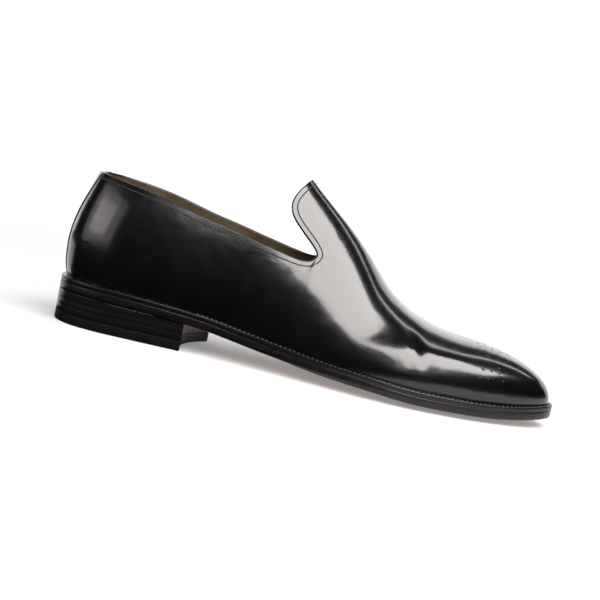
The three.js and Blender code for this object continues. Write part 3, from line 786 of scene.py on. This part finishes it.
def bump(nodes, links, shader, sources):
    """Chain of bumps: (height socket, strength, distance in m)."""
    last = None
    for height, strength, distance in sources:
        node = nodes.new("ShaderNodeBump")
        node.inputs["Strength"].default_value = strength
        node.inputs["Distance"].default_value = distance
        links.new(height, node.inputs["Height"])
        if last:
            links.new(last, node.inputs["Normal"])
        last = node.outputs["Normal"]
    links.new(last, shader.inputs["Normal"])


def calf_material():
    """Polished black calf: near-black base, soft gloss, faint grain and folds."""
    material, nodes, links, shader, coords = node_material("polished_calf")
    tone = noise(nodes, links, coords, 60, 3)
    colour = ramp(nodes, links, tone.outputs["Fac"], [
        (0.3, (0.0006, 0.0005, 0.0006)), (0.7, (0.0012, 0.0010, 0.0011))])
    links.new(colour.outputs["Color"], shader.inputs["Base Color"])
    haze = noise(nodes, links, coords, 140, 4)
    links.new(span(nodes, links, haze.outputs["Fac"], 0.17, 0.25), shader.inputs["Roughness"])
    shader.inputs["IOR"].default_value = 1.5
    shader.inputs["Coat Weight"].default_value = 0.4
    shader.inputs["Coat Roughness"].default_value = 0.09
    shader.inputs["Coat IOR"].default_value = 1.45
    pores = nodes.new("ShaderNodeTexVoronoi")
    pores.inputs["Scale"].default_value = 1500
    links.new(coords.outputs["Object"], pores.inputs["Vector"])
    grain = noise(nodes, links, coords, 900, 3)
    wave = noise(nodes, links, coords, 95, 2)
    fold = noise(nodes, links, coords, 34, 3, (1.0, 1.0, 1.7), 0.6)
    bump(nodes, links, shader, [
        (fold.outputs["Fac"], 0.50, 0.0007), (wave.outputs["Fac"], 0.30, 0.0003),
        (grain.outputs["Fac"], 0.14, 0.00008), (pores.outputs["Distance"], 0.12, 0.00006)])
    soft = nodes.new("ShaderNodeBump")
    soft.inputs["Strength"].default_value = 0.16
    soft.inputs["Distance"].default_value = 0.0004
    links.new(wave.outputs["Fac"], soft.inputs["Height"])
    links.new(soft.outputs["Normal"], shader.inputs["Coat Normal"])
    return material


def leather_material(
    name, dark, light, scale, roughness, stretch=None, strength=0.25, gloss=0.4
):
    """Leather or rubber with tone, pores and fibres."""
    material, nodes, links, shader, coords = node_material(name)
    tone = noise(nodes, links, coords, scale, 6, stretch, 0.4)
    colour = ramp(nodes, links, tone.outputs["Fac"], [(0.3, dark), (0.72, light)])
    links.new(colour.outputs["Color"], shader.inputs["Base Color"])
    rough = noise(nodes, links, coords, scale * 2.3, 4, stretch)
    links.new(span(nodes, links, rough.outputs["Fac"], roughness - 0.08, roughness + 0.1),
              shader.inputs["Roughness"])
    pores = nodes.new("ShaderNodeTexVoronoi")
    pores.inputs["Scale"].default_value = 1100
    links.new(coords.outputs["Object"], pores.inputs["Vector"])
    shader.inputs["Specular IOR Level"].default_value = gloss
    fibre = noise(nodes, links, coords, 500, 5, stretch)
    bump(nodes, links, shader, [
        (pores.outputs["Distance"], strength, 0.0001), (fibre.outputs["Fac"], strength, 0.00015)])
    return material


def edge_material():
    """Burnished edge: black wax over layers of leather."""
    material, nodes, links, shader, coords = node_material("burnished_edge")
    layers = noise(nodes, links, coords, 45, 5, (0.35, 0.35, 26), 0.3)
    colour = ramp(nodes, links, layers.outputs["Fac"], [
        (0.3, (0.0012, 0.001, 0.001)), (0.62, (0.003, 0.0025, 0.0024)),
        (0.8, (0.009, 0.007, 0.006))])
    links.new(colour.outputs["Color"], shader.inputs["Base Color"])
    rough = noise(nodes, links, coords, 220, 4)
    links.new(span(nodes, links, rough.outputs["Fac"], 0.2, 0.32), shader.inputs["Roughness"])
    shader.inputs["Specular IOR Level"].default_value = 0.42
    fine = noise(nodes, links, coords, 60, 3, (0.5, 0.5, 40))
    bump(nodes, links, shader, [
        (layers.outputs["Fac"], 0.10, 0.0002), (fine.outputs["Fac"], 0.10, 0.0001)])
    return material


def thread_material(name, colour):
    """Twisted thread, with painted shade in the grooves of its twist."""
    material, nodes, links, shader, coords = node_material(name)
    twist = nodes.new("ShaderNodeTexWave")
    twist.inputs["Scale"].default_value = 900
    twist.inputs["Distortion"].default_value = 1.5
    links.new(coords.outputs["Object"], twist.inputs["Vector"])
    # darker where the twist's bump is low: painted shade in its grooves
    shade = ramp(nodes, links, twist.outputs["Fac"], [
        (0.0, tuple(c * 0.6 for c in colour)), (1.0, colour)])
    links.new(shade.outputs["Color"], shader.inputs["Base Color"])
    shader.inputs["Roughness"].default_value = 0.5
    bump(nodes, links, shader, [(twist.outputs["Fac"], 0.4, 0.0001)])
    return material


def paper_material():
    """Pale paper with painted light: it glows, a little more away from the shoe."""
    material, nodes, links, shader, coords = node_material("pale_paper_painted_glow")
    mottle = noise(nodes, links, coords, 3, 2)
    colour = ramp(nodes, links, mottle.outputs["Fac"], [
        (0.3, (0.40, 0.40, 0.402)), (0.7, (0.41, 0.41, 0.413))])
    links.new(colour.outputs["Color"], shader.inputs["Base Color"])
    # painted light: the paper glows, weakly round the shoe and more strongly away from it
    shader.inputs["Emission Color"].default_value = (1, 0.995, 0.99, 1)
    centre = nodes.new("ShaderNodeVectorMath")
    centre.operation = "SUBTRACT"
    centre.inputs[1].default_value = (0.1, 0.0, 0.0)
    links.new(coords.outputs["Object"], centre.inputs[0])
    far = nodes.new("ShaderNodeVectorMath")
    far.operation = "LENGTH"
    links.new(centre.outputs["Vector"], far.inputs[0])
    painted_glow = nodes.new("ShaderNodeMapRange")
    painted_glow.interpolation_type = "SMOOTHSTEP"
    painted_glow.inputs["From Min"].default_value = 0.35
    painted_glow.inputs["From Max"].default_value = 1.5
    painted_glow.inputs["To Min"].default_value = 0.22
    painted_glow.inputs["To Max"].default_value = 0.95
    links.new(far.outputs["Value"], painted_glow.inputs["Value"])
    links.new(painted_glow.outputs["Result"], shader.inputs["Emission Strength"])
    shader.inputs["Roughness"].default_value = 0.9
    shader.inputs["Specular IOR Level"].default_value = 0.1
    return material


calf = calf_material()
lining = leather_material(
    "lining_leather", (0.035, 0.022, 0.010), (0.075, 0.05, 0.024), 90, 0.6)
sock = leather_material("sock_leather", (0.05, 0.03, 0.014), (0.11, 0.07, 0.035), 60, 0.6)
edge = edge_material()
sole = leather_material(
    "sole_leather", (0.23, 0.10, 0.055), (0.42, 0.21, 0.12), 30, 0.5, (0.4, 1.6, 1.0), 0.2)
breast = leather_material(
    "breast_leather", (0.055, 0.018, 0.012), (0.12, 0.042, 0.03), 40, 0.5, (0.6, 0.6, 9.0))
rubber = leather_material(
    "heel_rubber_black", (0.0015, 0.0015, 0.0015), (0.003, 0.0029, 0.0029), 200, 0.5,
    gloss=0.12)
thread = thread_material("black_thread", (0.02, 0.018, 0.02))
welt_thread = thread_material("welt_thread", (0.035, 0.032, 0.032))
# near-black matte leather for painted shade: the insides of the medallion's holes and the collar's
# stitch groove
dark = leather_material("painted_hole_and_groove_shade", (0.002, 0.002, 0.002), (0.004, 0.004, 0.004), 300, 0.8)

# Pieces
rim_points, rim_normals, rim_out = upper_pieces(calf, lining)
outsole_piece(edge, sole)
welt_piece(edge)
heel_pieces(edge, rubber, breast)
insole_piece(sock)
strip_piece(calf)


# Stitches along the collar and tongue, a little in from the rolled edge
def inset_path(distance):
    """Closed path on the skin at a distance from the opening's edge."""
    moved = rim_points - rim_out * distance
    moved += rim_normals * (relief(moved) - relief(rim_points))[:, None]
    ring = np.concatenate([moved, moved[:1]])
    normals = np.concatenate([rim_normals, rim_normals[:1]])
    run = distance_along(ring)
    s = np.linspace(0, run[-1], 901)[:-1]
    path = np.stack([np.interp(s, run, ring[:, k]) for k in range(3)], 1)
    normals = np.stack([np.interp(s, run, normals[:, k]) for k in range(3)], 1)
    for _ in range(12):
        path = (np.roll(path, 1, 0) + 2 * path + np.roll(path, -1, 0)) / 4
        normals = (np.roll(normals, 1, 0) + 2 * normals + np.roll(normals, -1, 0)) / 4
    normals /= np.linalg.norm(normals, axis=1, keepdims=True)
    return path, normals


def channel(name, path, normals, width, material):
    """Narrow pressed line under a row of stitches: a matte near-black strip, a real pressed line
    with painted shade of the stitch groove.
    """
    along = np.roll(path, -1, 0) - np.roll(path, 1, 0)
    along /= np.linalg.norm(along, axis=1, keepdims=True)
    across = np.cross(along, normals)
    across /= np.linalg.norm(across, axis=1, keepdims=True)
    rows = [
        path + across * width * k / 2 + normals * h
        for k, h in ((-1, 0.0), (0, 0.05), (1, 0.0))
    ]
    points = np.stack(rows, 1).reshape(-1, 3)
    make(name, points, band_faces(len(path), len(rows)), material)


path, normals = inset_path(2.6)
# near-black strip under the stitches: painted shade of their groove
channel("collar_seam_channel", path + normals * 0.04, normals, 0.7, dark)
stitches("collar_stitches", path, normals, 2.3, 1.7, 0.3, thread, sink=0.0)

# The medallion's middle, and its holes: along, across and radius
MEDALLION_X = 262.0
MEDALLION = (
    (0, 0, 0.8), (-5.6, 0, 0.5), (5.6, 0, 0.5), (-4, 4, 0.5), (4, 4, 0.5), (0, 5.6, 0.5),
    (-9, 0, 0.8), (9.5, 0, 0.8), (-7.5, 8, 0.5), (-4.5, 11.5, 0.8), (-1.5, 15, 0.5),
    (-2.5, 19, 0.8), (1.5, 21.5, 0.5), (-6.5, 23, 0.5), (3, 10, 0.5), (6.5, 13.5, 0.5),
    (5, 25, 0.5), (-4.2, 31.5, 0.8), (0.8, 29.3, 0.8), (5.6, 27.4, 0.8), (-5, 35, 0.5),
    (0, 33, 0.5), (8.9, 28.3, 0.5),
)


def medallion(rim_material, hole_material):
    """Punched holes of a small medallion, the same on both sides of the toe: calf rims round
    near-black discs of painted shade that stand for the holes.
    """
    t = np.linspace(0.06, 0.94, 900)
    rims_p, rims_f, holes_p, holes_f = [], [], [], []
    holes = [
        (dx, dy * side, radius)
        for dx, dy, radius in MEDALLION
        for side in ((1,) if dy == 0 else (-1, 1))
    ]
    for dx, y, radius in holes:
        x = np.array([MEDALLION_X + dx])
        row = last_point(x, t)
        if not row[:, 1].min() + 1 < y < row[:, 1].max() - 1:
            continue
        share = np.interp(y, row[:, 1], t) if y > row[0, 1] else t[0]
        p, n = skin(x, np.array([share]))
        p, n = p[0], n[0]
        u = np.cross(n, (0.0, 1.0, 0.0))
        u /= np.linalg.norm(u)
        v = np.cross(n, u)

        def ring(points, wide, high):
            for a in range(16):
                turn = a * math.pi / 8
                way = u * math.cos(turn) + v * math.sin(turn)
                points.append(p + radius * wide * way + n * high)

        base = len(rims_p)
        for wide, high in ((1.5, -0.05), (1.3, 0.04), (1.12, 0.06), (0.95, 0.03)):
            ring(rims_p, wide, high)
        rims_f += [[q + base for q in f] for f in grid_faces(4, 16, close=True)]
        # each hole is a near-black disc just over the skin: painted shade for the inside of the
        # hole
        base = len(holes_p)
        for wide, high in ((1.0, 0.045), (0.5, 0.035)):
            ring(holes_p, wide, high)
        holes_f += [[q + base for q in f] for f in grid_faces(2, 16, close=True)]
        holes_f.append([base + 16 + a for a in range(16)])
    make("medallion_rims", np.array(rims_p), rims_f, rim_material)
    make("medallion_holes", np.array(holes_p), holes_f, hole_material)


medallion(calf, dark)

# Stitches in the welt's groove, from the heel's breast round the toe
loop = plan_loop()
seam = at_height(loop, 1.65, 7.62)[loop[:, 0] > 88]
upright = np.tile([0.0, 0.0, 1.0], (len(seam), 1))
stitches("welt_stitches", seam, upright, 2.9, 2.2, 0.42, welt_thread, sink=0.1)

# Floor and backdrop: a round pale cove, in metres; its camera side stays out of
# reflections, as black cards would keep it in a studio
COVE = np.array([0.1, 0.35])
COVE_FLOOR, COVE_BEND, COVE_MIDDLE, COVE_TOP = 2.4, 0.6, 1.6, 3.2
MIRRORED_TURN = math.radians(62)  # to each side of straight behind the shoe
NEAR_FLOOR = np.array(
    [(-0.6, 0.1), (-0.05, 0.0), (0.3, -0.42), (0.9, -0.35), (1.2, 1.2), (-0.9, 1.2)])
PAPER = paper_material()


def patch_radius(angle):
    """Distance from the cove's middle to the edge of the floor near the shoe."""
    d = np.array([math.cos(angle), math.sin(angle)])
    best = 9.0
    for a, b in zip(NEAR_FLOOR, np.roll(NEAR_FLOOR, -1, 0)):
        a, b = a - COVE, b - COVE
        cross = d[0] * (b - a)[1] - d[1] * (b - a)[0]
        if abs(cross) < 1e-9:
            continue
        far = (a[0] * (b - a)[1] - a[1] * (b - a)[0]) / cross
        part = (a[0] * d[1] - a[1] * d[0]) / cross
        if far > 0 and -1e-6 <= part <= 1 + 1e-6:
            best = min(best, far)
    return best


def stage_piece(name, points, faces, glossy):
    """A sheet of the cove; glossy says whether reflections see it."""
    mesh = bpy.data.meshes.new(name)
    mesh.from_pydata(points, [], faces)
    mesh.materials.append(PAPER)
    mesh.polygons.foreach_set("use_smooth", [True] * len(mesh.polygons))
    sheet = bpy.data.objects.new(name, mesh)
    bpy.context.scene.collection.objects.link(sheet)
    sheet.visible_glossy = glossy


def cove():
    """Near floor, mirrored back and unmirrored front of the cove."""
    count = 96
    turns = [2 * math.pi * i / count for i in range(count)]
    def circle(radius, up):
        rows = []
        for a in turns:
            far = patch_radius(a) if radius is None else radius
            rows.append((*(COVE + far * np.array([math.cos(a), math.sin(a)])), up))
        return rows

    wall = COVE_FLOOR + COVE_BEND
    profile = [(None, 0.0), (COVE_FLOOR, 0.0)]
    for b in np.linspace(0.15, math.pi / 2, 9):
        profile.append((COVE_FLOOR + COVE_BEND * math.sin(b), COVE_BEND - COVE_BEND * math.cos(b)))
    profile += [(wall, COVE_MIDDLE), (wall, COVE_TOP)]
    rings = [circle(radius, up) for radius, up in profile]
    stage_piece("floor_near", rings[0], [list(range(count))], True)
    points = [tuple(float(v) for v in p) for ring in rings for p in ring]
    back, front = [], []
    for i in range(len(rings) - 1):
        below_top = i < len(rings) - 2
        for j in range(count):
            k = (j + 1) % count
            face = [i * count + j, (i + 1) * count + j, (i + 1) * count + k, i * count + k]
            behind = below_top and abs(turns[j] - math.pi / 2) < MIRRORED_TURN
            (back if behind else front).append(face)
    stage_piece("cove_back", points, back, True)
    stage_piece("cove_front", points, front, False)


cove()


AIMED_AT = (0.03, 0.0, 0.06)


def softbox(name, way, distance, size, length_axis, radiance, colour):
    """Soft light in a direction from the shoe; size is width by length."""
    way = Vector(way).normalized()
    long = Vector(length_axis)
    long = (long - way * long.dot(way)).normalized()
    data = bpy.data.lights.new(name, "AREA")
    data.shape = "RECTANGLE"
    data.size, data.size_y = size
    data.energy = radiance * math.pi * size[0] * size[1]
    data.color = colour
    light = bpy.data.objects.new(name, data)
    light.location = Vector(AIMED_AT) + way * distance
    light.rotation_mode = "QUATERNION"
    axes = Matrix((long.cross(way), long, way)).transposed()
    light.rotation_quaternion = axes.to_quaternion()
    bpy.context.scene.collection.objects.link(light)


ALONG_LEFT = (0.5, -0.86, 0)
WARM, WARMER, RIDGE_TINT = (1.0, 0.965, 0.945), (1.0, 0.95, 0.93), (1.0, 0.96, 0.94)
softbox("main_strip", (0.33, -0.6, 0.8), 1.25, (0.75, 1.9), (0.31, 0.95, 0), 11.3, WARM)
softbox("left_low", (-0.86, -0.48, 0.24), 1.6, (0.36, 0.9), ALONG_LEFT, 2.3, WARMER)
softbox("left_wide", (-0.85, -0.49, 0.20), 1.7, (0.72, 1.8), ALONG_LEFT, 1.2, WARMER)
softbox("ridge_strip", (0.28, 0.61, 0.74), 1.6, (0.1, 1.3), (1, 0, 0), 6.0, RIDGE_TINT)

world = bpy.data.worlds.new("studio")
bpy.context.scene.world = world
world.use_nodes = True
background = world.node_tree.nodes["Background"]
background.inputs["Color"].default_value = (0.9, 0.92, 1.0, 1)
background.inputs["Strength"].default_value = 0.015

# Camera at the photo's angle to the shoe, rolled with it
CAMERA_AT = (212.47, -897.99, 141.98)
CAMERA_AIM = (144.12, 0.0, 41.74)
CAMERA_ROLL = 12.306
CAMERA_LENS = 90.77
data = bpy.data.cameras.new("camera")
data.lens, data.sensor_width = CAMERA_LENS, 36.0
data.clip_start, data.clip_end = 0.05, 20.0
camera = bpy.data.objects.new("camera", data)
bpy.context.scene.collection.objects.link(camera)
place, aim = Vector(to_row(CAMERA_AT)), Vector(to_row(CAMERA_AIM))
camera.location = place
camera.rotation_mode = "QUATERNION"
turn = (aim - place).to_track_quat("-Z", "Y").to_matrix()
roll = Matrix.Rotation(math.radians(CAMERA_ROLL), 3, "Z")
camera.rotation_quaternion = (turn @ roll).to_quaternion()
bpy.context.scene.camera = camera
bpy.context.scene.view_settings.view_transform = "Standard"
